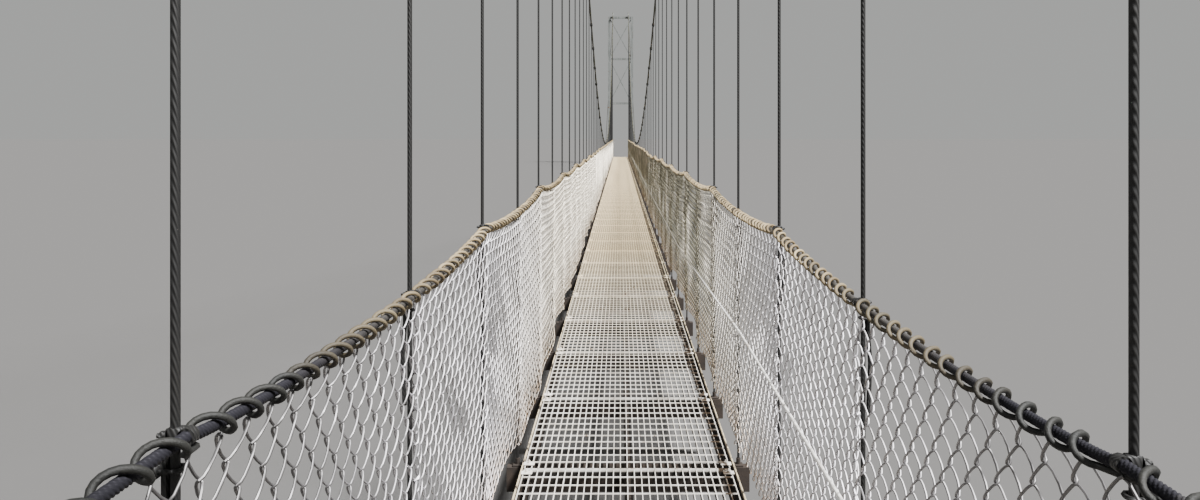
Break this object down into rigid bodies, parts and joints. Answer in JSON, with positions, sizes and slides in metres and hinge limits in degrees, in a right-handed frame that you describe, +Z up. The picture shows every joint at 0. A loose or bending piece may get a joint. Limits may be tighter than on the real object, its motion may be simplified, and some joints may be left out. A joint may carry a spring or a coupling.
{
  "type": "rope suspension footbridge, 1:2 scale model",
  "caption": "Narrow suspension footbridge: steel rope main cables over portal towers, hangers, grating deck and chain-link sides laced to rope handrails.",
  "frame": {"origin": "centre of the bridge on the ground, at mid-span between the towers", "axes": "+Y along the deck from the end where the viewer stands to the far end, +X to the right seen that way, +Z up"},
  "size_m": [1.6, 39.6, 5.4576],
  "materials": {
    "galvanised_grating": "galvanised, weathered",
    "rusted_steel": "rusted, matt",
    "chain_link": "galvanised, weathered",
    "weathered_wire_rope": "weathered, dusty",
    "dark_wire_rope": "greased, dark",
    "tower_steel": "galvanised, matt",
    "concrete": "rough cast concrete"
  },
  "bodies": {
    "root": {"deck_grating_1": "galvanised_grating", "deck_grating_2": "galvanised_grating", "deck_grating_3": "galvanised_grating", "deck_grating_4": "galvanised_grating", "deck_grating_5": "galvanised_grating", "deck_grating_6": "galvanised_grating", "deck_grating_7": "galvanised_grating", "deck_frame_1": "rusted_steel", "deck_frame_2": "rusted_steel", "deck_frame_3": "rusted_steel", "deck_frame_4": "rusted_steel", "deck_frame_5": "rusted_steel", "deck_frame_6": "rusted_steel", "deck_frame_7": "rusted_steel", "mesh_left_1": "chain_link", "mesh_left_2": "chain_link", "mesh_left_3": "chain_link", "mesh_left_4": "chain_link", "mesh_left_5": "chain_link", "mesh_left_6": "chain_link", "mesh_left_7": "chain_link", "mesh_right_1": "chain_link", "mesh_right_2": "chain_link", "mesh_right_3": "chain_link", "mesh_right_4": "chain_link", "mesh_right_5": "chain_link", "mesh_right_6": "chain_link", "mesh_right_7": "chain_link", "main_cable_and_hangers_left": "dark_wire_rope", "main_cable_and_hangers_right": "dark_wire_rope", "handrail_rope_left": "weathered_wire_rope", "handrail_rope_right": "weathered_wire_rope", "middle_rope_right": "weathered_wire_rope", "tower_near": "tower_steel", "tower_far": "tower_steel", "abutment_near": "concrete", "abutment_far": "concrete", "anchor_block_near_left": "concrete", "anchor_block_near_right": "concrete", "anchor_block_far_left": "concrete", "anchor_block_far_right": "concrete", "anchor_plate_near_left": "tower_steel", "anchor_plate_near_right": "tower_steel", "anchor_plate_far_left": "tower_steel", "anchor_plate_far_right": "tower_steel"}
  },
  "joints": []
}
